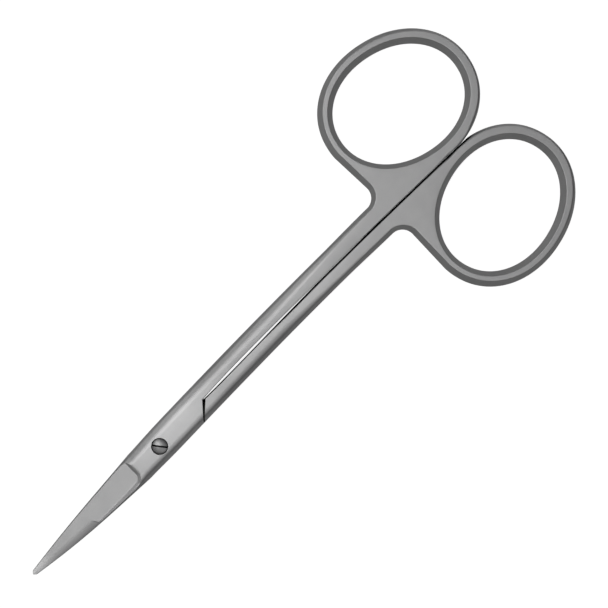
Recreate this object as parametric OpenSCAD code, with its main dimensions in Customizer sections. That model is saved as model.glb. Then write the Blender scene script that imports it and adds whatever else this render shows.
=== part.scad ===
// Fine straight scissors, two forged halves that cross at a slotted screw.
// +X points to the tips and +Z is up. The origin is where the pivot's axis
// meets the underside of the joint, so the closed pair lies on Z = 0.
//
// One half is drawn with its ring on +Y, its outer face up and the face that
// slides on its partner at Z = 0. The skin of the forging is one lofted shell:
// sections carried along the blade, joint and shank, closed by a drafted ring.
// The lap, the gap between the shanks, the ground blade faces and the pivot's
// holes are then cut, in the order in which the real piece is machined.

/* [Overall] */
// Distance from the pivot to the blade tips
tip_reach = 30.9; // [26:0.1:34]
// Distance from the pivot to the middle of each finger ring
ring_reach = 70.15; // [64:0.5:78]
// Distance from the line between the rings to the middle of each ring
ring_offset = 12.25; // [12.25:0.05:13]
// Thickness of the closed pair at the joint
joint_thick = 3.4; // [3:0.1:4]
// Thickness of the finger rings
ring_thick = 3; // [2.4:0.1:3.4]
// Sideways bow of both shanks at their middle
shank_bow = 0.77; // [0:0.01:1]
// Length over which the bow runs, from the blade's root to beyond the rings
bow_span = 86; // [80:0.5:96]

/* [Blade] */
// Distance from the pivot to the start of the blade
root_x = 5.2; // [4:0.1:7]
// Half width of the blade where it starts
root_w = 2.8; // [2.4:0.05:3]
// Half width of the blade at the tip, and the radius of the tip
tip_w = 0.45; // [0.3:0.05:0.7]
// Fullness of the blade's sides beyond a straight taper
blade_belly = 0.3; // [0:0.02:0.5]
// Sideways lift of the blade's middle line
tip_lift = 0.2; // [0:0.02:0.4]
// Fall of the forged blade's outer face per millimetre of length
blade_fall = 0.04; // [0.03:0.002:0.044]
// Draft of the blade's sides from mid height to the corner
blade_draft = 0.3; // [0.1:0.02:0.4]
// Corner radius on the blade's sides
blade_round = 0.14; // [0.08:0.02:0.3]
// Distance from the pivot to the step where the ground face starts
grind_x = 6.1; // [5:0.1:8]
// Height of the ground face above the sliding face at that step
grind_z = 1.3; // [1.1:0.05:1.45]
// Fall of the ground face towards the tip, in degrees
grind_fall = 1.75; // [1:0.05:2]
// Distance from the step to the place where the rim on the back ends
rim_run = 10.2; // [7:0.1:13]
// Radius of the rounded back between the rim and the tip
back_round = 2.8; // [2.4:0.1:4]

/* [Joint and shanks] */
// Half width of the closed pair of shanks
shank_w = 2.95; // [2.7:0.05:3.2]
// Height of the rounded corner on the outer side of each shank
shank_round = 1; // [0.4:0.02:1.2]
// Height of the rounded corner on the sides of the joint
joint_round = 1.05; // [0.3:0.02:1.2]
// Width of both rounded corners over their height
round_wide = 1.75; // [1:0.05:1.9]
// Draft of the outer sides from mid height to the corner
side_draft = 0.32; // [0.2:0.02:0.6]
// Distance behind the pivot at which the lap ends on the gap's side
lap_end = 10.9; // [9:0.1:13]
// Length of the slanting end of the lap
lap_slant = 2.8; // [2:0.1:4]
// Widest gap between the two shanks
gap_wide = 0.34; // [0.2:0.01:0.5]
// Gap between the two rings at their closest
gap_rings = 0.06; // [0.04:0.01:0.2]
// Widening of that gap from mid height to the faces
gap_draft = 0.07; // [0:0.01:0.25]
// Chamfer on the edges of both shanks along the gap
gap_chamfer = 0.17; // [0.05:0.01:0.2]
// Radius of the fillet between shank and ring
web_fillet = 2.4; // [1.5:0.1:3]

/* [Finger ring] */
// Long half axis of the finger hole
hole_a = 11.75; // [10:0.05:12]
// Short half axis of the finger hole
hole_b = 9.53; // [8:0.01:9.55]
// Turn of the long axis away from the shank, in degrees
hole_tilt = 13.5; // [0:0.5:20]
// Fullness of the oval, where 2 is an ellipse
hole_full = 2.08; // [2:0.02:2.3]
// Distance of the web's straight front behind the ring's foremost point
web_set = 0.35; // [0.2:0.05:0.8]
// Width of the ring's bar
bar_w = 2.65; // [2.4:0.05:2.9]
// Draft of the bar's sides from mid height to the corner
bar_draft = 0.6; // [0.3:0.05:0.7]
// Corner radius on the bar
bar_round = 0.12; // [0.08:0.02:0.3]

/* [Pivot screw] */
// Diameter of the screw's head
head_d = 2.86; // [2.4:0.02:3.2]
// Height of the head's rim
head_h = 0.75; // [0.5:0.05:0.9]
// Rise of the domed head above its rim
head_dome = 0.16; // [0.05:0.01:0.25]
// Diameter of the shoulder that the upper half turns on
shoulder_d = 1.9; // [1.6:0.05:2.1]
// Diameter of the part that is screwed into the lower half
thread_d = 1.6; // [1.2:0.05:1.8]
// Width of the driver slot
slot_w = 0.28; // [0.2:0.02:0.4]
// Depth of the driver slot
slot_depth = 0.4; // [0.25:0.05:0.5]
// Direction of the driver slot, in degrees from +X
slot_turn = -52.5; // [-90:0.5:90]

/* [Fits] */
// Gap between the two sliding faces
lap_play = 0.04; // [0.02:0.01:0.1]
// Radial clearance between shoulder and bore
pivot_play = 0.04; // [0.02:0.01:0.1]
// Radial clearance around the head in its recess
head_play = 0.11; // [0.06:0.01:0.2]
// Clearance under the head
head_seat = 0.03; // [0.01:0.01:0.08]
// Radial clearance of the fixed thread
thread_play = 0.01; // [0.005:0.005:0.02]
// Clearance between the lap's end and the shoulder it closes on
lap_clear = 0.38; // [0.2:0.02:0.6]

/* [Hidden] */

STEEL = "#a9abad";
DARK_STEEL = "#8c8e91";
$fn = 96;

mid_z = joint_thick / 2;
ring_z = ring_thick / 2;
far = 8;                                   // reach of a cut beyond the part

bow_start = 6;                             // where the middle line starts to bend
web_flare = 0.15;                          // widening of the shank towards the web

// Where the shank ends and the web of the ring starts
web_x = hole_a + bar_w - ring_reach - web_set;
split_x = web_x + web_fillet;              // last section of the shank

rim_steps = 4;                             // facets from mid height to a face
rim_count = 2 * rim_steps + 1;
sect_count = 2 * rim_count;

// The ring's sections: round the oval, along the gap, round the fillet and
// up the web's straight front.
oval_count = 55;
near_count = 7;
fillet_count = 7;
front_count = 3;
ring_count = oval_count + near_count + fillet_count + front_count;
ring_step = 360 / ring_count;
ring_first = -2 * ring_step;

// Soft step from 0 to 1 between a and b.
function ease(x, a, b) =
    let (t = max(0, min(1, (x - a) / (b - a))))
    t * t * (3 - 2 * t);

function blend(a, b, t) = a + (b - a) * t;

// Middle line of the closed pair, as it lies with side = 1.
function middle(x) =
    x < bow_start
        ? -shank_bow * sin(180 * (bow_start - x) / bow_span)
        : tip_lift * sin(90 * (x - bow_start) / 17);

// Half width of the closed pair, from the web to the tip.
function blade_part(x) = (x - root_x) / (tip_reach - root_x);
function blade_half(x) =
    let (u = blade_part(x))
    blend(root_w, tip_w, u) + blade_belly * sin(180 * pow(u, 1.25));
function shank_half(x) =
    let (taper = pow(ease(x, -root_x, root_x), 2))
    let (flare = web_flare * ease(-x, 0.6 * ring_reach, -split_x))
    blend(shank_w, root_w, taper) + flare;
function half_width(x) = x > root_x ? blade_half(x) : shank_half(x);

// Gap between the shanks at mid height, and the draft of its walls.
gap_run = 27;
gap_lead = 0.62;                           // below 1 the gap is widest early on
function gap_at(x) =
    let (t = max(0, min(1, (-lap_end - x) / gap_run)))
    gap_rings + (gap_wide - gap_rings) * sin(180 * pow(t, gap_lead));
function gap_draft_at(x) = gap_draft * ease(-x, 0.4 * ring_reach, 0.75 * ring_reach);

// Height of the forging's outer face above mid height.
fall_x = 4;
function face_z(x) =
    x > fall_x
        ? mid_z - blade_fall * (x - fall_x)
        : blend(mid_z, ring_z, max(0, min(1, (-lap_end - x) / (-lap_end - split_x))));

// Side profile from one face to the other as [inset, z]: drafted out to mid
// height, with a rounded corner of height r and width wide * r at each face.
function rim(draft, r, z, wide = 1) =
    [for (j = [-rim_steps : rim_steps])
        let (turn = 90 * (abs(j) - 1) / (rim_steps - 1))
        j == 0
            ? [0, 0]
            : [draft + wide * r * (1 - cos(turn)), sign(j) * (z - r + r * sin(turn))]];

// Corner height, its width and the draft along the outer side.
function corner_at(x) =
    lookup(x, [
        [split_x, 2.5 * bar_round],
        [0.75 * split_x, 0.7 * shank_round],
        [0.55 * split_x, shank_round],
        [-lap_end, shank_round],
        [0, joint_round],
        [root_x, joint_round],
        [root_x + 3, blade_round]]);
function wide_at(x) =
    lookup(x, [
        [split_x, 1],
        [0.55 * split_x, round_wide],
        [root_x, round_wide],
        [root_x + 3, 1]]);
function draft_at(x) =
    lookup(x, [
        [split_x, bar_draft],
        [0.8 * split_x, side_draft],
        [root_x, side_draft],
        [root_x + 3, blade_draft],
        [tip_reach, 0.4 * blade_draft]]);

// Sections of the loft from the tip back to the web.
tip_centre = tip_reach - tip_w;
tip_turns = [20, 40, 65];
section_xs = concat(
    [for (a = tip_turns) tip_centre + tip_w * cos(a)],
    [for (i = [0 : 11]) blend(tip_centre, root_x, i / 12)],
    [for (i = [0 : 18]) blend(root_x, split_x, i / 18)]);

function section_half(x) =
    x > tip_centre
        ? sqrt(tip_w * tip_w - pow(x - tip_centre, 2)) * blade_half(tip_centre) / tip_w
        : half_width(x);

// Past the lap the shell only reaches a little over the gap's line.
back_spare = 0.9;
function back_half(x) =
    blend(section_half(x), back_spare, ease(-x, lap_end + 0.3, lap_end + 4));

// One closed section as a list of [y, z], ring side first.
function section(x, side) =
    let (w = section_half(x))
    let (back = back_half(x))
    let (draft = draft_at(x))
    let (r = corner_at(x))
    let (wide = wide_at(x))
    let (fit = min(1, 0.7 * w / (draft + wide * r)))
    let (back_fit = min(1, 0.7 * back / (draft + wide * r)))
    let (profile = rim(draft, r, face_z(x), wide))
    concat(
        [for (p = profile) [side * middle(x) + w - p[0] * fit, p[1]]],
        [for (j = [rim_count - 1 : -1 : 0])
            [side * middle(x) - back + profile[j][0] * back_fit, profile[j][1]]]);

// Point at angle t on the ring's oval, grown by the given amount.
function full(v) = sign(v) * pow(abs(v), 2 / hole_full);
function oval(t, grow, side) =
    let (u = (hole_a + grow) * full(cos(t)))
    let (v = (hole_b + grow) * full(sin(t)))
    [-ring_reach + u * cos(hole_tilt) - v * sin(hole_tilt),
     ring_offset + side * middle(-ring_reach) + u * sin(hole_tilt) + v * cos(hole_tilt)];

// Outline of ring and web, anticlockwise, one point for each ring section.
function ring_outline(side) =
    let (shank_y = side * middle(split_x) + section_half(split_x))
    let (back_y = side * middle(split_x) - back_half(split_x))
    let (ring_end = oval(ring_first + (oval_count - 1) * ring_step, bar_w, side))
    let (split_back = [split_x, back_y])
    let (front_top = oval(ring_first, bar_w, side))
    let (front_foot = [web_x, shank_y + web_fillet])
    concat(
        [for (k = [0 : oval_count - 1]) oval(ring_first + k * ring_step, bar_w, side)],
        [for (i = [1 : near_count]) blend(ring_end, split_back, i / near_count)],
        [for (i = [0 : fillet_count - 1])
            let (a = 270 - 90 * i / (fillet_count - 1))
            [split_x + web_fillet * cos(a), shank_y + web_fillet + web_fillet * sin(a)]],
        [for (i = [1 : front_count]) blend(front_foot, front_top, i / (front_count + 1))]);

// Unit normal to the right of the outline at point k, away from the metal.
function normal_at(line, k) =
    let (n = len(line))
    let (step = line[(k + 1) % n] - line[(k + n - 1) % n])
    [step[1], -step[0]] / norm(step);

// Ring levels: the outline moved in by its side profile. Where the shank's last
// section meets the ring, both take the section's own points.
split_back_k = oval_count - 1 + near_count;
split_front_k = split_back_k + 1;
function ring_wall(side) =
    let (line = ring_outline(side))
    let (last = section(split_x, side))
    [for (k = [0 : ring_count - 1])
        let (past = max(0, k - split_front_k) / (fillet_count + 1))
        let (near = k < split_front_k ? 1 : min(1, past))
        let (draft = blend(draft_at(split_x), bar_draft, near))
        let (r = blend(corner_at(split_x), bar_round, near))
        let (out = normal_at(line, k))
        let (profile = rim(draft, r, ring_z))
        for (l = [0 : rim_count - 1])
            k == split_back_k ? [split_x, last[sect_count - 1 - l][0], last[sect_count - 1 - l][1]]
            : k == split_front_k ? [split_x, last[l][0], last[l][1]]
            : [line[k][0] - out[0] * profile[l][0], line[k][1] - out[1] * profile[l][0],
               profile[l][1]]];

function hole_wall(side) =
    let (line = [for (k = [0 : ring_count - 1]) oval(ring_first + k * ring_step, 0, side)])
    [for (k = [0 : ring_count - 1])
        let (out = normal_at(line, k))
        for (p = rim(bar_draft, bar_round, ring_z))
            [line[k][0] + out[0] * p[0], line[k][1] + out[1] * p[0], p[1]]];

// Two triangles over the quad a, b, c, d.
function quad(a, b, c, d) = [[a, b, c], [a, c, d]];

// The whole forging as one closed shell.
module forging(side) {
    sections = len(section_xs);
    shank_points = [for (x = section_xs) for (p = section(x, side)) [x, p[0], p[1]]];
    ring_base = sections * sect_count;
    hole_base = ring_base + ring_count * rim_count;
    function s(i, j) = i * sect_count + j % sect_count;
    function r(k, l) = ring_base + (k % ring_count) * rim_count + l;
    function h(k, l) = hole_base + (k % ring_count) * rim_count + l;
    tip_faces = [for (j = [1 : sect_count - 2]) [0, j + 1, j]];
    shank_faces = [
        for (i = [0 : sections - 2])
        for (j = [0 : sect_count - 1])
        each quad(s(i, j), s(i, j + 1), s(i + 1, j + 1), s(i + 1, j))];
    ring_faces = [
        for (k = [0 : ring_count - 1])
        if (k != split_back_k)
        for (l = [0 : rim_count - 2])
        each quad(r(k, l), r(k, l + 1), r(k + 1, l + 1), r(k + 1, l))];
    hole_faces = [
        for (k = [0 : ring_count - 1])
        for (l = [0 : rim_count - 2])
        each quad(h(k, l), h(k + 1, l), h(k + 1, l + 1), h(k, l + 1))];
    flat_faces = [
        for (k = [0 : ring_count - 1])
        each concat(
            quad(h(k, rim_count - 1), h(k + 1, rim_count - 1),
                 r(k + 1, rim_count - 1), r(k, rim_count - 1)),
            quad(h(k, 0), r(k, 0), r(k + 1, 0), h(k + 1, 0)))];
    polyhedron(
        points = concat(shank_points, ring_wall(side), hole_wall(side)),
        faces = concat(tip_faces, shank_faces, ring_faces, hole_faces, flat_faces),
        convexity = 8);
}

// Half section of the gap, from mid height up to a face: the drafted wall,
// the chamfer, and on beyond the face, as [distance from the gap's line, z].
over = 1;                                  // reach of the cut over a face
function gap_wall(draft, z) =
    [[0, 0],
     [draft, z - gap_chamfer],
     [draft + gap_chamfer + over, z + over],
     [-far, z + over]];

// All that lies over the gap's line and past the slanting end of the lap.
module gap_cut(side) {
    line_end = ring_reach + far;
    slope = (half_width(-lap_end) + gap_at(-lap_end) / 2) / lap_slant;
    start = [-lap_end, side * middle(-lap_end) + gap_at(-lap_end) / 2];
    line = concat(
        [start + [far / slope, -far], start],
        [for (i = [1 : 20])
            let (x = -blend(lap_end, line_end, i / 20))
            [x, side * middle(x) + gap_at(x) / 2]]);
    count = len(line);
    sides = 7;
    wall = [
        for (p = line)
        let (half_wall = gap_wall(gap_draft_at(p[0]), face_z(min(p[0], fall_x))))
        each [
            for (j = [3, 2, 1]) [p[0], p[1] + half_wall[j][0], -half_wall[j][1]],
            for (j = [0 : 3]) [p[0], p[1] + half_wall[j][0], half_wall[j][1]]]];
    faces = [
        for (i = [0 : count - 2])
        for (j = [0 : sides - 1])
        each quad(
            i * sides + j, i * sides + (j + 1) % sides,
            (i + 1) * sides + (j + 1) % sides, (i + 1) * sides + j)];
    last = (count - 1) * sides;
    ends = [
        for (j = [0 : sides - 3])
        let (t = [3, (j + 4) % sides, (j + 5) % sides])
        each [[t[0], t[2], t[1]], [last + t[0], last + t[1], last + t[2]]]];
    polyhedron(points = wall, faces = concat(faces, ends), convexity = 4);
}

// Room for the partner's lap: all under the sliding face, out to the shoulder.
module lap_cut(side) {
    y_near = side * middle(-lap_end) - gap_at(-lap_end) / 2;
    slope = (half_width(-lap_end) + gap_at(-lap_end) / 2) / lap_slant;
    foot = [-lap_end - lap_clear, y_near];
    translate([0, 0, -far + lap_play / 2])
        linear_extrude(far)
            polygon([
                foot + [far / slope, far],
                foot - [far / slope, far],
                [tip_reach + far, -far - 1],
                [tip_reach + far, far + 1]]);
}

// The flat ground outer face, with its step and the rim it leaves on the back.
// The grinding wheel leaves a slanting wall at both.
function rim_point(run, set, side) =
    let (x = grind_x + run * rim_run)
    [run * rim_run, side * middle(x) - blade_half(x) + set];
module face_grind(side) {
    corner = 1;
    floor_line = concat(
        [[tip_reach, far], [0.15, far]],
        [for (a = [180 : 15 : 240])
            [0.15 + corner + corner * cos(a), -0.3 + corner * sin(a)]],
        [rim_point(0.35, 0.95, side),
         rim_point(0.7, 0.72, side),
         rim_point(1, 0.55, side),
         [rim_run, -far],
         [tip_reach, -far]]);
    count = len(floor_line);
    depth = 2;
    wall = [for (k = [0 : count - 1])
        let (out = normal_at(floor_line, k))
        [floor_line[k][0] + depth * out[0], floor_line[k][1] + depth * out[1], depth]];
    translate([grind_x, 0, grind_z])
        rotate([0, grind_fall, 0])
            polyhedron(
                points = concat([for (p = floor_line) [p[0], p[1], 0]], wall),
                faces = concat(
                    [[for (k = [0 : count - 1]) k]],
                    [[0, for (k = [count - 1 : -1 : 1]) k] + [for (k = [1 : count]) count]],
                    [for (k = [0 : count - 1])
                        let (n = (k + 1) % count)
                        each quad(k, count + k, count + n, n)]),
                convexity = 4);
}

// The rounded back of the blade, from the end of the rim to the tip.
module back_grind(side) {
    start_x = grind_x + rim_run;
    start_y = side * middle(start_x) - blade_half(start_x);
    start_z = grind_z - rim_run * tan(grind_fall);
    intersection() {
        translate([start_x, start_y, -far])
            linear_extrude(2 * far)
                polygon([[-0.9, -1.35], [1.1, 1.65], [far * 3, 1.65], [far * 3, -1.35]]);
        difference() {
            translate([start_x - far, -far, lap_play])
                cube([tip_reach, 2 * far, far]);
            translate([start_x, start_y + 1.65, start_z - back_round])
                rotate([0, 90 + grind_fall, 2.5])
                    cylinder(h = 4 * far, r = back_round, center = true);
        }
    }
}

module half(side) {
    difference() {
        forging(side);
        gap_cut(side);
        lap_cut(side);
        face_grind(side);
        back_grind(side);
    }
}

// The upper half: its ring lies on -Y and its outer face is up. The recess
// for the screw's head and the bore that turns on the screw are in it.
module upper_half() {
    color(STEEL)
        translate([0, 0, mid_z])
            difference() {
                mirror([0, 1, 0])
                    half(-1);
                cylinder(h = 4 * mid_z, d = shoulder_d + 2 * pivot_play, center = true);
                translate([0, 0, mid_z - head_h])
                    cylinder(h = far, d = head_d + 2 * head_play);
            }
}

// The lower half: its ring lies on +Y, its outer face is down, and the screw
// is fixed in it.
module lower_half() {
    color(STEEL)
        translate([0, 0, mid_z])
            difference() {
                mirror([0, 0, 1])
                    half(1);
                cylinder(h = 4 * mid_z, d = thread_d + 2 * thread_play, center = true);
            }
}

// The slotted screw: domed head, smooth shoulder and the fixed thread.
module pivot_screw() {
    head_r = head_d / 2;
    rim_z = joint_thick - 0.08;
    seat_z = joint_thick - head_h + head_seat;
    dome_r = (head_r * head_r + head_dome * head_dome) / (2 * head_dome);
    dome_half = asin(head_r / dome_r);
    color(DARK_STEEL)
        difference() {
            rotate_extrude()
                polygon(concat(
                    [[0, 0],
                     [thread_d / 2, 0],
                     [thread_d / 2, mid_z - lap_play / 2],
                     [shoulder_d / 2, mid_z - lap_play / 2],
                     [shoulder_d / 2, seat_z],
                     [head_r, seat_z]],
                    [for (i = [0 : 8])
                        let (a = dome_half * (1 - i / 8))
                        [dome_r * sin(a), rim_z + head_dome - dome_r * (1 - cos(a))]]));
            translate([0, 0, rim_z + head_dome - slot_depth])
                rotate([0, 0, slot_turn])
                    translate([-head_d, -slot_w / 2, 0])
                        cube([2 * head_d, slot_w, far]);
        }
}

upper_half();
lower_half();
pivot_screw();
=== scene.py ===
"""Fine straight scissors of satin steel: two forged halves on a slotted screw.

The closed pair lies flat, tips on +X, the pivot's axis at the origin. Every
piece is worked out in millimetres and put in its mesh in metres.
"""

import bmesh
import bpy
import numpy as np
from mathutils import Matrix, Vector


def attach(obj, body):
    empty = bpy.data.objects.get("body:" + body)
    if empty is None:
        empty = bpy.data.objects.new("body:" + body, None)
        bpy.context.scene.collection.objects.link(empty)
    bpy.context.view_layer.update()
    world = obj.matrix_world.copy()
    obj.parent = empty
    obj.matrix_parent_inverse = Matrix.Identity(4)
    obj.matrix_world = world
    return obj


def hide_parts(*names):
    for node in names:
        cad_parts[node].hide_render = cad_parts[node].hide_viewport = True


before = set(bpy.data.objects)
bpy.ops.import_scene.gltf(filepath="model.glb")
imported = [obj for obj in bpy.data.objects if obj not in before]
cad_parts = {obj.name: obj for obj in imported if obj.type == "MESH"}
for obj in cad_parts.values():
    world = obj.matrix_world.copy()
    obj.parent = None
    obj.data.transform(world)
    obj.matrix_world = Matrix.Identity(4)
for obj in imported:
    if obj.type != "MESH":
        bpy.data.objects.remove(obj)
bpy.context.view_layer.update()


# ---------------------------------------------------------------- upper half
# The half on top: blade, lap, shank and finger ring forged in one piece from
# stainless steel, ground on the blade, then bead blasted to a satin. It turns
# on the screw, whose head sits in a round recess in its outer face.

MM = 0.001
TIP_REACH = 30.9          # pivot to tips
RING_REACH = 70.15        # pivot to the middle of each ring
RING_OFFSET = 12.25       # middle line to the middle of each ring
MID_Z = 1.7               # half the thickness of the joint
RING_Z = 1.5              # half the thickness of the rings
LAP_PLAY = 0.04           # gap between the sliding faces
LAP_END = 10.7            # where the lap ends on the gap's side
LAP_CLEAR = 0.86          # length of the wedge behind the lap's end
LAP_SLANT = 0.933         # how far the lap's end slants, per mm across
ROOT_X = 5.2              # where the blade's taper starts
TIP_ROUND = 0.45          # half width of the blade at its tip, and the tip's radius
SPLIT_X = -53.7           # last section of the shank before the web
EDGE_R = 0.08             # quarter round on a wall along the gap
GRIND_X = 6.1             # step where the ground face of the blade starts
STEP_FOOT = 0.15          # from there to the foot of the wall
GRIND_Z = 1.3             # height of the ground face at the step
GRIND_FALL = np.radians(1.75)         # its fall towards the tip
WHEEL_R = 1               # round inner corner that the wheel leaves
RIM_END = 16.3            # where the rim on the back ends
STEP_SLOPE, RIM_SLOPE = 0.6, 0.38     # rise of the wall at the step and along the rim
BACK_R = 3.8              # radius of the back between the rim's end and the tip
RING_LONG, RING_SHORT = 11.75, 9.53   # half axes of the finger hole
RING_FULL = 2.08          # power of its ellipse, 2 for a plain one
RING_TILT = np.radians(13.5)
RING_BAND = 2.65          # width of the ring's metal
RING_SOFT = 0.12          # round edges of the ring


def ease(x, a, b):
    """Soft step from 0 at a to 1 at b: t t (3 - 2 t)."""
    t = np.clip((x - a) / (b - a), 0, 1)
    return t * t * (3 - 2 * t)


def middle(x):
    """Middle line of the pair: a shallow sine bow behind the root and a small lift
    before it."""
    return np.where(
        x < 6,
        -0.77 * np.sin(np.pi * (6 - x) / 86),
        0.2 * np.sin(np.pi / 2 * (x - 6) / 17),
    )


def half_width(x):
    """Half width of the pair: a bellied taper on the blade, nearly even on the
    shanks, and a quarter circle at the tip."""
    u = np.clip((x - ROOT_X) / (TIP_REACH - ROOT_X), 0, 1)
    blade = 2.8 + (TIP_ROUND - 2.8) * u + 0.3 * np.sin(np.pi * u**1.25)
    shank = 2.95 - 0.15 * ease(x, -5.2, 5.2) ** 2 + 0.15 * ease(-x, 42, 53.7)
    wide = np.where(x > ROOT_X, blade, shank)
    past = np.clip((x - TIP_REACH + TIP_ROUND) / TIP_ROUND, 0, 1)
    return wide * np.sqrt(1 - past**2)


def gap_half(x):
    """Half the gap between the shanks at mid height: a sine, widest early on."""
    t = np.clip((-LAP_END - x) / 27, 0, 1)
    return (0.008 + 0.34 * np.sin(np.pi * t**0.62)) / 2


def face_z(x):
    """Height of the forging's outer face over mid height."""
    behind = np.clip((-LAP_END - x) / (-LAP_END - SPLIT_X), 0, 1)
    return np.where(x > 4, MID_Z - 0.04 * (x - 4), MID_Z + (RING_Z - MID_Z) * behind)


def corner(x):
    """Height of the round outer edge along the shank, joint and blade."""
    at = [-53.7, -40, -29, -10.9, 0, 5.2, 8.2]
    return np.interp(x, at, [0.3, 0.7, 1.0, 1.0, 1.05, 1.05, 0.14])


def spread(x, toward):
    """Width of that round edge over its height; wider on the -Y side, toward < 0."""
    broad, slim = [1, 1.6, 1.75, 1.75, 2.15, 2.15, 1], [1, 1.2, 1.35, 1.15, 1.15, 1.15, 1]
    return np.interp(x, [-53.7, -40, -29, -14, -7, 2, 8.2], broad if toward < 0 else slim)


def draft(x):
    """How far the outer side leans in from mid height to the edge's start."""
    return np.interp(x, [-53.7, -43, 5.2, 8.2, 30.9], [0.6, 0.32, 0.32, 0.3, 0.12])


def crown(x):
    """Rise of the softly domed outer face over its own edges."""
    return 0.08 * ease(x, -53.5, -47) * (1 - ease(x, 5, 8))


def forged_z(x, y, side):
    """Outer face of the forging: its height less a parabola across the pair, which
    turns behind the lap into one across each shank."""
    alone = ease(-x, LAP_END, 20)
    off = (y - side * middle(x) - 1.4 * alone) / (half_width(x) + 0.3 - 1.6 * alone)
    return face_z(x) - crown(x) * np.clip(off, -1, 1) ** 2


def ground_floor(x):
    """Height of the ground face: a plane that falls towards the tip."""
    return GRIND_Z - (x - GRIND_X) * np.tan(GRIND_FALL)


def rim_inset(x):
    """Width of the rim that the ground face leaves along the back of the blade."""
    at = [GRIND_X, GRIND_X + 3.5, GRIND_X + 7.1, RIM_END]
    return np.interp(x, at, [1.25, 0.95, 0.72, 0.55])


def wall_line(x, side, past):
    """Where across the blade the wall lies past (mm) outside the ground face."""
    across = np.clip(WHEEL_R + GRIND_X + STEP_FOOT - x, 0, None)
    along = np.sqrt(np.clip((WHEEL_R + past) ** 2 - across**2, 0, None))
    return side * middle(x) - half_width(x) + rim_inset(x) + WHEEL_R - along


def wall_slope(x, y, side):
    """Rise of that wall: steep where it faces the tip, soft where it faces the edge."""
    across = np.clip(WHEEL_R + GRIND_X + STEP_FOOT - x, 0, None)
    along = WHEEL_R + side * middle(x) - half_width(x) + rim_inset(x) - y
    along = np.clip(along, 1e-6, None)
    share = across**2 / (across**2 + along**2)
    return RIM_SLOPE + (STEP_SLOPE - RIM_SLOPE) * share


def ground_z(x, y, side):
    """Ground face of the blade: a falling plane, a sloping wall at the step and
    along the rim, and a cylinder on the back between the rim's end and the tip."""
    floor = ground_floor(x)
    step = GRIND_X + STEP_FOOT - x
    rim = np.where(x < RIM_END, side * middle(x) - half_width(x) + rim_inset(x) - y, 0)
    # the wheel leaves a round inner corner between step and rim
    rx, ry = np.clip(WHEEL_R + step, 0, None), np.clip(WHEEL_R + rim, 0, None)
    inner = np.hypot(rx, ry) - WHEEL_R
    past = np.where((step > -WHEEL_R) & (rim > -WHEEL_R), inner, np.maximum(step, rim))
    line = side * middle(RIM_END) - half_width(RIM_END)
    past = np.where(x >= RIM_END, np.minimum(past, 0), past)
    top = floor + wall_slope(x, y, side) * np.clip(past, 0, None)
    reach = 1.65              # how far the round of the back comes in at the rim's end
    axis = line + reach + (x - RIM_END) * np.tan(np.radians(2.5))
    off = np.clip(axis - y, 0, BACK_R * 0.96)
    back = floor - (BACK_R - np.sqrt(BACK_R**2 - off**2))
    start = RIM_END + (y - line) * (1.1 / reach)
    return np.where(x > start, np.minimum(top, back), top)


def outer_z(x, y, side):
    """What is left of the forging after grinding: the lower of the two faces."""
    return np.minimum(forged_z(x, y, side), np.where(x > 5, ground_z(x, y, side), 9))


def side_inset(z, lean, r, top, wide=1):
    """Inset of the drafted side at height z, with a quarter ellipse of height r and
    width wide times r under top."""
    start = np.maximum(top - r, 1e-6)
    up = np.clip((z - start) / r, 0, 1)
    return np.where(z < start, lean * z / start, lean + wide * r * (1 - np.sqrt(1 - up**2)))


def side_levels(n, r, top, reach):
    """n heights from the sliding face to reach: 3 in 10 of them below the round edge
    and the rest on it."""
    t = np.linspace(0, 1, n)
    start = top - r
    turn = np.clip((t - 0.3) / 0.7, 0, 1) * np.pi / 2
    free = np.where(t < 0.3, start * t / 0.3, start + r * np.sin(turn))
    return LAP_PLAY / 2 + (free - free[0]) * (reach - LAP_PLAY / 2) / (top - free[0])


def gap_lean(x, side):
    """How far a shank's wall along the gap stands back from a low ridge at its mid
    height. The ridge gives the black line between the shanks its width; it stands
    out more on the lower half."""
    return 0.18 + 0.18 * ease(-x, 22, 36) if side == 1 else 0.03 + 0 * x


def gap_inset(x, z, side):
    """Inset of that wall at height z: the ridge, the upright wall over it and a
    quarter round at the face."""
    top, r = face_z(x), EDGE_R
    low = gap_lean(x, side) * ease(np.abs(z), 0, 0.35)
    up = np.clip((np.abs(z) - (top - r)) / r, 0, 1)
    return low + r * (1 - np.sqrt(1 - up**2))


# points up a side, across the face on both sides of the gap's line, and below
NW, NC, NB, NF = 12, 18, 16, 14
NA = NW + 2 * NC          # points up the ring's side, as many as past the gap's line


def side_wall(x, side, sign, n):
    """Outer side at x: n points from the sliding face up to where it meets the outer
    face. sign is 1 for the edge on the ring's side and -1 for the other edge."""
    lean, r, wide, half = draft(x), corner(x), spread(x, side * sign), half_width(x)
    fit = min(1, 0.7 * half / (lean + wide * r))
    lean, wide = lean * fit, wide * fit
    edge = side * middle(x) + sign * half
    top = float(forged_z(x, edge - sign * (lean + wide * r), side))
    reach = top
    for _ in range(5):
        y = edge - sign * side_inset(reach, lean, r, top, wide)
        reach = min(top, float(outer_z(x, y, side)))
    z = side_levels(n, r, top, reach)
    return edge - sign * side_inset(z, lean, r, top, wide), z


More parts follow.
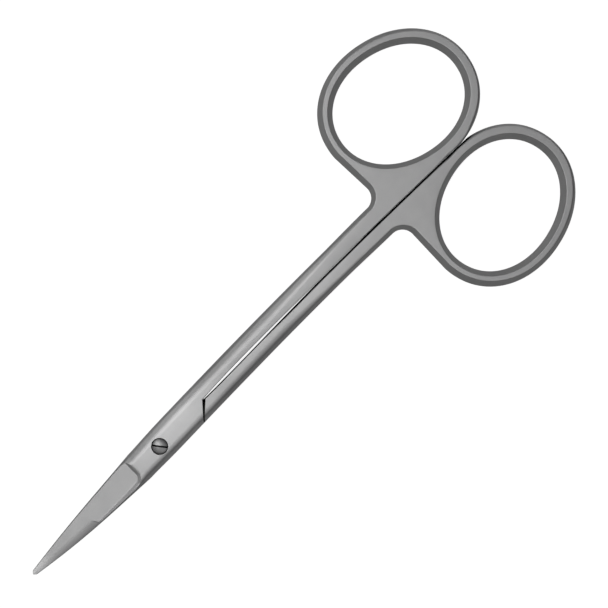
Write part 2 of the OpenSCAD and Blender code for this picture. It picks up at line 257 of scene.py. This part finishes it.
def section(x, side, kind, skew=0.0):
    """One closed loop across the half at x, as rows of (x, y, z): up the outer side,
    over the face to the gap's line, to the other edge, down, and back below.
    kind is "lap" where it lies on its partner, "neck" between the lap's end and the
    shoulder, and "shank" where it has its full height. skew slants it like the lap's
    end."""
    line = float(side * middle(x) + gap_half(x))
    ay, az = side_wall(x, side, 1, NA)
    across = np.linspace(0, 1, NB + 2)[1:-1]
    low = LAP_PLAY / 2
    if kind == "lap":
        dy, dz = side_wall(x, side, -1, NW)
        wide = line - dy[-1]
        foot, brow = wall_line(x, side, 0), wall_line(x, side, 0.4)
        for _ in range(4):
            rise = forged_z(x, brow, side) - ground_floor(x)
            brow = wall_line(x, side, rise / wall_slope(x, brow, side))
        # points are kept for the wall's foot and brow where there is room for both
        marks = [0, (line - foot) / wide, (line - brow) / wide, 1]
        held = GRIND_X < x < RIM_END and np.all(np.diff(marks) > 0.02)
        marks = marks if held else [0, 0.4, 0.75, 1]
        cy = line - wide * np.interp(np.linspace(0, 1, NC), np.array([0, 6, 12, 17]) / 17, marks)
        cz = outer_z(x, cy, side)
        cz[-1] = dz[-1]
        by = ay[-1] + (line - ay[-1]) * across
        bz = outer_z(x, by, side)
        gy = np.concatenate([cy, dy[::-1][1:], np.linspace(dy[0], line, NC + 2)[1:]])
        gz = np.concatenate([cz, dz[::-1][1:], np.full(NC + 1, low)])
    else:
        top = float(forged_z(x, line, side))
        foot = low if kind == "neck" else 0.0
        turn, r = np.linspace(np.pi / 2, 0, NA // 3), EDGE_R
        flat = np.linspace(top - r, foot, NA - NA // 3 + 1)[1:]
        gz = np.concatenate([top - r + r * np.sin(turn), flat])
        gy = line + gap_inset(x, gz + float(face_z(x)) - top, side)
        by = ay[-1] + (gy[0] - ay[-1]) * across
        bz = forged_z(x, by, side)
    if kind == "shank":
        turn = np.linspace(0, np.pi / 2, NF // 2 + 1)[1:]
        flat = np.linspace(0, top - r, NF - NF // 2 + 1)[1:]
        fz = -np.concatenate([flat, top - r + r * np.sin(turn)])
        fy = line + gap_inset(x, -fz + float(face_z(x)) - top, side)
        reach, lean, r = az[-1], draft(x), corner(x)
        hz = -side_levels(NF + 1, r, reach, reach)[::-1][:-1]
        hy = side_inset(-hz, lean, r, reach, spread(x, side))
        hy = side * middle(x) + half_width(x) - hy
        under_y, under_z = [fy, by[::-1], hy], [fz, -bz[::-1], hz]
    else:
        under_y = [np.linspace(line, ay[0], 2 * NF + NB + 2)[1:-1]]
        under_z = [np.full(2 * NF + NB, low)]
    y = np.concatenate([ay, by, gy, *under_y])
    z = np.concatenate([az, bz, gz, *under_z])
    xs = x + skew * LAP_SLANT * np.abs(y - line)
    return np.stack([xs, y + side * (middle(xs) - middle(x)), z], -1)


def strip_faces(grid, closed):
    """Quads over a grid of vertex numbers, joined round each row when closed."""
    a = grid if not closed else np.concatenate([grid, grid[:, :1]], 1)
    return np.stack([a[:-1, :-1], a[:-1, 1:], a[1:, 1:], a[1:, :-1]], -1).reshape(-1, 4)


def oval(t, grow, side):
    """Point at angle t on the ring's tilted, slightly full ellipse, grown by grow."""
    cos, sin = (np.sign(v) * np.abs(v) ** (2 / RING_FULL) for v in (np.cos(t), np.sin(t)))
    u, v = (RING_LONG + grow) * cos, (RING_SHORT + grow) * sin
    return np.stack([
        -RING_REACH + u * np.cos(RING_TILT) - v * np.sin(RING_TILT),
        RING_OFFSET + side * middle(-RING_REACH) + u * np.sin(RING_TILT) + v * np.cos(RING_TILT),
    ], -1)


def left_of(path):
    """Unit normal to the left of a closed path, from its central differences."""
    step = np.roll(path, -1, 0) - np.roll(path, 1, 0)
    step /= np.linalg.norm(step, axis=1)[:, None]
    return np.stack([-step[:, 1], step[:, 0]], -1)


def ring_grid(side, last):
    """The finger ring and its web: rows follow the outline, columns go up its drafted
    outer side, over the flat face, down through the hole's side and back below. Where
    the outline crosses the shank it takes the points of the shank's last section."""
    n_oval, n_near, n_fillet, n_front, rows, n_hole = 136, 26, 20, 8, 6, 30
    x_web = RING_LONG + RING_BAND - RING_REACH - 0.35
    a, b = last[:NA], last[NA:NA + NB]
    c, d = last[NA + NB:2 * NA + NB], last[2 * NA + NB:]
    shank_y = a[:, 1].max()
    t_oval = np.radians(np.linspace(-10, 260, n_oval))
    ring = oval(t_oval, RING_BAND, side)
    back = np.array([SPLIT_X, side * middle(SPLIT_X) - 0.9])
    share = (np.arange(1, n_near + 1) / (n_near + 1))[:, None]
    near = ring[-1] + (back - ring[-1]) * share
    line = np.stack([np.full(NB + 2, SPLIT_X), np.linspace(back[1], shank_y, NB + 2)], -1)
    turn = np.radians(270 - 90 * np.arange(1, n_fillet + 1) / n_fillet)
    radius = SPLIT_X - x_web
    round_web = np.stack([
        SPLIT_X + radius * np.cos(turn), shank_y + radius + radius * np.sin(turn),
    ], -1)
    share = (np.arange(1, n_front + 1) / (n_front + 1))[:, None]
    front = round_web[-1] + (ring[0] - round_web[-1]) * share
    path = np.concatenate([ring, near, line, round_web, front])
    # k_back and k_front: the points where the outline meets the shank's two sides
    n, k_back = len(path), n_oval + n_near
    k_front = k_back + NB + 1
    marks = [0, n_oval - 1, k_back, k_front, k_front + n_fillet, n]
    at = np.arange(n)
    t = np.radians(np.interp(at, marks, [-10, 260, 284, 287, 325, 350]))
    hole = oval(t, 0, side)
    into, outward = left_of(path), -left_of(hole)
    into[k_front] = (0, -1)
    # the round edge: wider on the ring's far side, and as on the shank at the fillet
    wider = ease(at, 30, 60) * (1 - ease(at, n_oval, k_back))
    past = np.clip((at - k_front) / (n_fillet + 2), 0, 1)
    shank_r = 0.3 + (RING_SOFT - 0.3) * past
    r = np.where(at < k_front, np.round(RING_SOFT + 0.28 * wider, 2), shank_r)
    # outer side, first its upper levels and then its lower ones
    radii, which = np.unique(r, return_inverse=True)
    up = np.stack([side_levels(NA, ri, RING_Z, RING_Z) for ri in radii])[which]
    down = [side_levels(NF + 1, ri, RING_Z, RING_Z)[::-1][:-1] for ri in radii]
    down = np.stack(down)[which]
    # the outer side leans in more in front of the ring than behind it
    lean = 0.56 + 0.36 * np.cos(t - np.radians(15))
    fillet = ease(at[k_back:], k_front, k_front + n_fillet)
    lean[k_back:] = 0.6 + (lean[k_back:] - 0.6) * fillet
    # where the rings touch, the outer side stands as upright as the gap's wall
    met = ease(np.degrees(t), 228, 244) * (at <= k_back)
    lean += (gap_lean(-60.0, side) - lean) * met

    def lean_in(z):
        """Points of the outer side at the heights z, one row for each outline point."""
        inset = side_inset(z, lean[:, None], r[:, None], RING_Z)
        return path[:, None] + into[:, None] * inset[..., None]

    wall_up = np.concatenate([lean_in(up), up[..., None]], -1)
    wall_down = np.concatenate([lean_in(down), -down[..., None]], -1)
    wall_up[k_front], wall_up[k_back] = a, c[::-1]
    wall_down[k_front], wall_down[k_back] = d[NF + NB:], d[:NF][::-1]
    inner = slice(k_back + 1, k_front)
    wall_up[inner, -1], wall_down[inner, 0] = b[::-1], d[NF:NF + NB]
    # the hole's side, from the upper face to the lower one
    z_hole = side_levels(n_hole // 2, RING_SOFT, RING_Z, RING_Z)
    z_hole = np.concatenate([z_hole[::-1], -z_hole])
    swell = side_inset(np.abs(z_hole), 0.85, RING_SOFT, RING_Z)
    rim = hole[:, None] + outward[:, None] * swell[None, :, None]
    heights = np.broadcast_to(z_hole[None, :, None], (n, n_hole, 1))
    wall_hole = np.concatenate([rim, heights], -1)
    part = (np.arange(1, rows + 1) / (rows + 1))[None, :, None]
    top = wall_up[:, -1:] + (wall_hole[:, :1] - wall_up[:, -1:]) * part
    under = wall_hole[:, -1:] + (wall_down[:, :1] - wall_hole[:, -1:]) * part
    grid = np.concatenate([wall_up, top, wall_hole, under, wall_down], 1)
    # the wall along the gap is cut straight: nothing lies past the gap's own wall
    gx = grid[..., 0]
    gap_y = side * middle(gx) + gap_half(gx) + gap_inset(gx, grid[..., 2], side)
    grid[..., 1] = np.maximum(grid[..., 1], gap_y)
    grid[k_back, :NA], grid[k_back, -NF:] = c[::-1], d[:NF][::-1]
    cols = grid.shape[1]
    number = np.arange(n * cols).reshape(n, cols)
    quads = strip_faces(np.concatenate([number, number[:1]]), True).reshape(n, cols, 4)
    keep = np.ones((n, cols), bool)
    keep[k_back:k_front, :NA - 1] = False
    keep[k_back:k_front, cols - NF:] = False
    return grid.reshape(-1, 3), quads[keep]


def half(side):
    """Vertices in mm, faces and the tip's loop of a half, with its ring on +Y and its
    outer face up: sections from the tip to the web, and the ring."""
    turn = np.radians([8, 16, 26, 38, 50, 62, 74, 84])
    stops = np.concatenate([
        TIP_REACH - TIP_ROUND + TIP_ROUND * np.cos(turn),
        np.arange(30.45, 17.7, -0.16), np.arange(17.7, 15.9, -0.05),
        np.arange(15.9, 6.6, -0.16), np.arange(6.55, 5.8, -0.05),
        np.arange(5.75, -5, -0.35), np.linspace(-5, -LAP_END, 14),
    ])
    loops = [section(x, side, "lap", float(ease(-x, 4.5, LAP_END))) for x in stops]
    shoulder = -LAP_END - LAP_CLEAR + 0.1 * LAP_SLANT
    neck = np.linspace(-LAP_END - 0.008, shoulder, 4)
    loops += [section(x, side, "neck", 1.0) for x in neck]
    behind = np.concatenate([
        [shoulder - 0.008], np.arange(shoulder - 0.4, -21, -0.5), np.linspace(-21, SPLIT_X, 44),
    ])
    # the shoulder slants more than the lap's end: the wedge between them tapers
    slants = 1.22 * (1 - ease(-behind, LAP_END + 1, 20))
    loops += [section(x, side, "shank", float(slant)) for x, slant in zip(behind, slants)]
    grid = np.stack(loops)
    number = np.arange(grid.shape[0] * grid.shape[1]).reshape(grid.shape[:2])
    faces = [strip_faces(number, True)]
    ring_points, ring_faces = ring_grid(side, grid[-1])
    faces.append(ring_faces + number.size)
    return np.concatenate([grid.reshape(-1, 3), ring_points]), np.concatenate(faces), number[0]


def put(name, points, quads, caps=()):
    """A new mesh object from points in mm and faces, merged, its faces outwards and
    caps closing its open ends."""
    mesh = bpy.data.meshes.new(name)
    ends = [list(map(int, cap)) for cap in caps]
    mesh.from_pydata((points * MM).tolist(), [], quads.tolist() + ends)
    work = bmesh.new()
    work.from_mesh(mesh)
    bmesh.ops.remove_doubles(work, verts=work.verts, dist=2e-7)
    bmesh.ops.dissolve_degenerate(work, edges=work.edges, dist=1e-7)
    bmesh.ops.recalc_face_normals(work, faces=work.faces)
    if work.calc_volume(signed=True) < 0:
        bmesh.ops.reverse_faces(work, faces=work.faces)
    work.to_mesh(mesh)
    work.free()
    piece = bpy.data.objects.new(name, mesh)
    bpy.context.scene.collection.objects.link(piece)
    return piece


def crisp(piece, angle=28):
    """Smooth shading that keeps the ground and blasted edges crisp."""
    piece.data.polygons.foreach_set("use_smooth", np.ones(len(piece.data.polygons), bool))
    piece.data.set_sharp_from_angle(angle=np.radians(angle))
    piece.data.update()


def cut_away(piece, tool):
    """Take the tool's solid out of the piece and drop the tool."""
    cut = piece.modifiers.new("cut", "BOOLEAN")
    cut.object, cut.operation, cut.solver = tool, "DIFFERENCE", "EXACT"
    shape = piece.evaluated_get(bpy.context.evaluated_depsgraph_get())
    left = bpy.data.meshes.new_from_object(shape)
    piece.modifiers.clear()
    piece.data = left
    bpy.data.objects.remove(tool)


def bore(piece, *holes):
    """Round holes about the pivot's axis, each (radius, from height, to height) in mm."""
    for k, (radius, low, high) in enumerate(holes):
        turn = np.linspace(0, 2 * np.pi, 96, endpoint=False)
        ring = np.stack([radius * np.cos(turn), radius * np.sin(turn)], -1)
        points = np.concatenate([np.c_[ring, np.full(96, low)], np.c_[ring, np.full(96, high)]])
        walls = strip_faces(np.arange(192).reshape(2, 96), True)
        cut_away(piece, put(f"drill_{k}", points, walls, [range(96), range(96, 192)]))


def paint_shade(piece, dark, inside):
    """Give the painted shade, a dark steel, to the faces whose middles (mm) and normals pass
    inside.
    """
    mesh = piece.data
    mesh.materials.append(dark)
    centre, normal = np.empty((2, len(mesh.polygons) * 3))
    mesh.polygons.foreach_get("center", centre)
    mesh.polygons.foreach_get("normal", normal)
    mark = inside(centre.reshape(-1, 3) / MM, normal.reshape(-1, 3))
    mesh.polygons.foreach_set("material_index", mark.astype(np.int32) * (len(mesh.materials) - 1))
    mesh.update()


RAMP_FROM, RAMP_TO = -50, 30          # stretch over which the steel's tone changes


def satin_steel(name, tone, rough, blast, shares=((RAMP_FROM, 1), (RAMP_TO, 1))):
    """Bead-blasted stainless steel: a metal with a fine uneven grain in its bump and
    its gloss, and a faint cloudiness in its tone. shares holds pairs of a place along
    the scissors, in mm, and the share of the tone there."""
    mat = bpy.data.materials.new(name)
    mat.use_nodes = True
    nodes, links = mat.node_tree.nodes, mat.node_tree.links
    steel = nodes["Principled BSDF"]
    steel.inputs["Metallic"].default_value = 1.0
    where = nodes.new("ShaderNodeTexCoord")
    grain = nodes.new("ShaderNodeTexNoise")
    grain.inputs["Scale"].default_value = 9000
    grain.inputs["Detail"].default_value = 3
    cloud = nodes.new("ShaderNodeTexNoise")
    cloud.inputs["Scale"].default_value = 420
    cloud.inputs["Detail"].default_value = 4
    for noise in (grain, cloud):
        links.new(where.outputs["Object"], noise.inputs["Vector"])
    tint = nodes.new("ShaderNodeMapRange")
    tint.inputs["From Min"].default_value, tint.inputs["From Max"].default_value = 0.3, 0.7
    links.new(cloud.outputs["Fac"], tint.inputs["Value"])
    colour = nodes.new("ShaderNodeMix")
    colour.data_type = "RGBA"
    colour.inputs["A"].default_value = (tone * 0.97, tone * 0.97, tone * 0.975, 1)
    colour.inputs["B"].default_value = (tone * 1.03, tone * 1.03, tone * 1.03, 1)
    links.new(tint.outputs["Result"], colour.inputs["Factor"])
    # a ramp of the tone along the scissors; where the shares differ it is painted light
    split = nodes.new("ShaderNodeSeparateXYZ")
    reach = nodes.new("ShaderNodeMapRange")
    reach.inputs["From Min"].default_value = RAMP_FROM * MM
    reach.inputs["From Max"].default_value = RAMP_TO * MM
    ramp = nodes.new("ShaderNodeValToRGB")
    ramp.color_ramp.interpolation = "EASE"
    stops = ramp.color_ramp.elements
    for place, share in shares:
        stop = stops.new((place - RAMP_FROM) / (RAMP_TO - RAMP_FROM))
        stop.color = (share, share, share, 1)
    # the two stops that every ramp starts with
    stops.remove(stops[0])
    stops.remove(stops[-1])
    links.new(where.outputs["Object"], split.inputs["Vector"])
    links.new(split.outputs["X"], reach.inputs["Value"])
    links.new(reach.outputs["Result"], ramp.inputs["Fac"])
    lift = nodes.new("ShaderNodeVectorMath")
    lift.operation = "SCALE"
    links.new(colour.outputs["Result"], lift.inputs[0])
    links.new(ramp.outputs["Color"], lift.inputs["Scale"])
    links.new(lift.outputs["Vector"], steel.inputs["Base Color"])
    gloss = nodes.new("ShaderNodeMapRange")
    gloss.inputs["To Min"].default_value = rough - 0.03
    gloss.inputs["To Max"].default_value = rough + 0.03
    links.new(grain.outputs["Fac"], gloss.inputs["Value"])
    links.new(gloss.outputs["Result"], steel.inputs["Roughness"])
    bump = nodes.new("ShaderNodeBump")
    bump.inputs["Strength"].default_value = blast
    bump.inputs["Distance"].default_value = 0.00001
    links.new(grain.outputs["Fac"], bump.inputs["Height"])
    links.new(bump.outputs["Normal"], steel.inputs["Normal"])
    return mat


BORE_R = 0.99             # bore that turns on the screw's shoulder
RECESS_R, RECESS_DEEP = 1.45, 0.75    # round recess for the screw's head

points, quads, tip = half(-1)
upper = put("upper_blade_and_ring", points * (1, -1, 1) + (0, 0, MID_Z), quads, [tip])
bore(upper, (BORE_R, -1, 6), (RECESS_R, 2 * MID_Z - RECESS_DEEP, 6))
crisp(upper)
# painted light along the scissors: the tone is raised at the joint and the points as painted
# highlight, and lower on the shanks and the blade's ground face
blasted = satin_steel("blasted_steel", 0.86, 0.46, 0.12, (
    (-50, 0.71), (-36, 0.75), (-16, 0.68), (-6.5, 0.84),
    (5.5, 0.775), (6.5, 0.67), (25.5, 0.70), (30, 0.99),
))
upper.data.materials.append(blasted)
# painted shade: a dark, dull steel that stands in for the shade in the narrow gaps, at the lap's
# ends, in the screw's recess and in its slot; a dark tone for the places that are black in the
# photo; whether they are unfinished or only in shadow can't be seen there
dark_shade = satin_steel("painted_shade_steel", 0.012, 0.8, 0.2)
shade_inputs = dark_shade.node_tree.nodes["Principled BSDF"].inputs
shade_inputs["Metallic"].default_value, shade_inputs["Specular IOR Level"].default_value = 0.0, 0.1


def shade_faces(c, n):
    """Faces with middles c, in mm, and normals n that get painted shade: the ridges
    along the gap, the lap's end walls, the floor of the wedge behind them and the
    screw's recess."""
    x, y, z = c.T
    off_mid = np.abs(z - MID_Z)
    line = np.abs(y - middle(x)) < gap_half(x) + 0.42
    gap = line & (x < -LAP_END) & (x > -76) & (off_mid < 0.4) & (np.abs(n[:, 1]) > 0.3)
    ends = (x < -7) & (x > -12.5) & (np.abs(n[:, 0]) > 0.5)
    slant = x - LAP_SLANT * np.abs(y - middle(x))
    wedge = (slant < -LAP_END + 0.03) & (slant > -13) & (x > -13) & (off_mid < 0.05)
    recess = (np.hypot(x, y) < RECESS_R + 0.005) & (z < 2 * MID_Z - 0.03)
    return gap | ends | wedge | recess


# painted shade on the gap's ridges, the lap's end walls, the wedge's floor and the screw's recess
paint_shade(upper, dark_shade, shade_faces)
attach(upper, "upper")
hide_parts("upper_half")


# ---------------------------------------------------------------- lower half
# The half below, forged and ground as the upper one and turned over onto it.
# The screw is fixed in its threaded bore, so it doesn't turn on the screw.

THREAD_BORE_R = 0.81

points, quads, tip = half(1)
lower = put("lower_blade_and_ring", points * (1, 1, -1) + (0, 0, MID_Z), quads, [tip])
bore(lower, (THREAD_BORE_R, -2, MID_Z + 1))
crisp(lower)
lower.data.materials.append(blasted)
# painted shade on the same places of the lower half
paint_shade(lower, dark_shade, shade_faces)
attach(lower, "lower")
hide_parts("lower_half")


# ---------------------------------------------------------------- pivot screw
# A turned stainless screw: low domed head with a driver slot, smooth shoulder
# and thread. It is screwed into the lower half and carries the upper one.

THREAD_R, SHOULDER_R = 0.8, 0.95
HEAD_R, HEAD_FOOT, HEAD_RIM = 1.36, 2.68, 3.22    # its radius, underside and rim
DOME = 0.26               # rise of the head's dome over its rim
SLOT_HALF, SLOT_DEEP = 0.15, 0.6      # half the slot's width, its depth from the top
SLOT_WAY = np.radians(-52.5)
N_TURN = 128              # points round the screw

dome_r = (HEAD_R**2 + DOME**2) / (2 * DOME)
turn_in = np.arcsin((HEAD_R - 0.06) / dome_r) * np.linspace(1, 0, 12)
brow = np.radians(np.linspace(0, 70, 6))
lathe_r = np.concatenate([
    [THREAD_R, THREAD_R, SHOULDER_R, SHOULDER_R, HEAD_R, HEAD_R],
    HEAD_R - 0.07 + 0.07 * np.cos(brow), dome_r * np.sin(turn_in[1:-1]),
])
lathe_z = np.concatenate([
    [0.02, MID_Z - 0.02, MID_Z - 0.02, HEAD_FOOT, HEAD_FOOT, HEAD_RIM - 0.1],
    HEAD_RIM - 0.06 + 0.07 * np.sin(brow),
    HEAD_RIM + DOME - dome_r * (1 - np.cos(turn_in[1:-1])),
])
turn = np.linspace(0, 2 * np.pi, N_TURN, endpoint=False)
points = np.stack([
    lathe_r[:, None] * np.cos(turn), lathe_r[:, None] * np.sin(turn),
    np.broadcast_to(lathe_z[:, None], (len(lathe_z), N_TURN)),
], -1).reshape(-1, 3)
number = np.arange(len(points)).reshape(-1, N_TURN)
screw = put("pivot_screw_turned", points, strip_faces(number, True), [number[0], number[-1]])
# the driver slot, sawn straight across
slot_floor = HEAD_RIM + DOME - SLOT_DEEP
u = 3.0 * np.array([-1, 1, 1, -1] * 2)
v = SLOT_HALF * np.array([-1, -1, 1, 1] * 2)
saw_points = np.stack([
    u * np.cos(SLOT_WAY) - v * np.sin(SLOT_WAY), u * np.sin(SLOT_WAY) + v * np.cos(SLOT_WAY),
    np.repeat([slot_floor, slot_floor + 3], 4),
], -1)
saw_faces = strip_faces(np.arange(8).reshape(2, 4), True)
cut_away(screw, put("slot_saw", saw_points, saw_faces, [range(4), range(4, 8)]))
crisp(screw)
screw.data.materials.append(satin_steel("turned_steel", 0.40, 0.36, 0.2))


def shade_in_slot(c, n):
    """The slot's upright walls and its floor, which get painted shade."""
    x, y, z = c.T
    across = np.abs(x * np.sin(SLOT_WAY) - y * np.cos(SLOT_WAY)) < SLOT_HALF + 0.002
    walls = across & (z > slot_floor - 0.01) & (np.abs(n[:, 2]) < 0.1)
    return walls | (np.abs(z - slot_floor) < 0.01) & (n[:, 2] > 0.9)


# painted shade on the slot's walls and floor
paint_shade(screw, dark_shade, shade_in_slot)
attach(screw, "lower")
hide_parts("pivot_screw")


# ---------------------------------------------------------------- floor
# A plain white sweep under the scissors. It looks white to the camera, gives the
# metal a small share of that white, and keeps the scissors' shadow.

SEEN_BY_CAMERA, SEEN_BY_METAL = 0.98, 0.12

floor_mesh = bpy.data.meshes.new("floor")
corners = [(-1.5, -1.5, 0), (1.5, -1.5, 0), (1.5, 1.5, 0), (-1.5, 1.5, 0)]
floor_mesh.from_pydata(corners, [], [(0, 1, 2, 3)])
floor = bpy.data.objects.new("floor", floor_mesh)
bpy.context.scene.collection.objects.link(floor)
white = bpy.data.materials.new("white_sweep")
white.use_nodes = True
nodes, links = white.node_tree.nodes, white.node_tree.links
paint = nodes["Principled BSDF"]
paint.inputs["Base Color"].default_value = (0.2, 0.2, 0.2, 1)
paint.inputs["Roughness"].default_value = 0.9
paint.inputs["Emission Color"].default_value = (1, 1, 1, 1)
path = nodes.new("ShaderNodeLightPath")
total = None
for ray, share in (
    ("Is Camera Ray", SEEN_BY_CAMERA), ("Is Glossy Ray", SEEN_BY_METAL),
    ("Is Transmission Ray", SEEN_BY_METAL),
):
    glow = nodes.new("ShaderNodeMath")
    glow.operation = "MULTIPLY_ADD"
    glow.inputs[1].default_value, glow.inputs[2].default_value = share, 0
    links.new(path.outputs[ray], glow.inputs[0])
    if total:
        links.new(total, glow.inputs[2])
    total = glow.outputs["Value"]
links.new(total, paint.inputs["Emission Strength"])
floor.data.materials.append(white)


# ---------------------------------------------------------------- light
# A soft studio: a faint even surround and seven softboxes. The key and the top
# one stand above the scissors, the others at their sides and ends.

LOOKED_AT = Vector((-0.03, 0, 0))     # middle of the scissors

world = bpy.data.worlds.new("studio")
bpy.context.scene.world = world
world.use_nodes = True
surround = world.node_tree.nodes["Background"].inputs
surround["Color"].default_value = (1, 1, 1, 1)
surround["Strength"].default_value = 0.05

for name, place, size, power in (
    ("key", (0.06, -0.20, 0.66), 0.32, 0.68),
    ("top", (0.10, 0.14, 0.70), 0.7, 0.7),
    ("low", (-0.03, -0.60, 0.10), 0.5, 0.42),
    ("mid", (-0.03, -0.50, 0.42), 0.45, 0.14),
    ("tips", (0.60, -0.30, 0.28), 0.6, 0.40),
    ("rings", (-0.66, -0.30, 0.28), 0.6, 0.32),
    ("fill", (-0.03, 0.48, 0.52), 0.4, 0.12),
):
    lamp = bpy.data.lights.new(name, "AREA")
    lamp.shape, lamp.size, lamp.energy = "SQUARE", size, power
    softbox = bpy.data.objects.new(name, lamp)
    bpy.context.scene.collection.objects.link(softbox)
    softbox.location = place
    aim = LOOKED_AT - Vector(place)
    softbox.rotation_euler = aim.to_track_quat("-Z", "Y").to_euler()


# ---------------------------------------------------------------- camera
# Straight above, turned so that the scissors lie across the frame from the
# lower left to the upper right.

SENSOR = 36
TOP_Z = 0.0034            # top of the scissors
DISTANCE, SEEN = 0.250, 0.1034        # height over it, and the width seen there

view = bpy.data.cameras.new("camera")
view.sensor_width, view.sensor_fit = SENSOR, "HORIZONTAL"
view.lens = SENSOR * DISTANCE / SEEN
camera = bpy.data.objects.new("camera", view)
bpy.context.scene.collection.objects.link(camera)
h = 0.5**0.5
camera.matrix_world = Matrix((
    (-h, -h, 0, -0.03449), (h, -h, 0, 0.00024), (0, 0, 1, TOP_Z + DISTANCE), (0, 0, 0, 1),
))
view.clip_start, view.clip_end = 0.01, 10
bpy.context.scene.camera = camera
bpy.context.scene.view_settings.view_transform = "Standard"
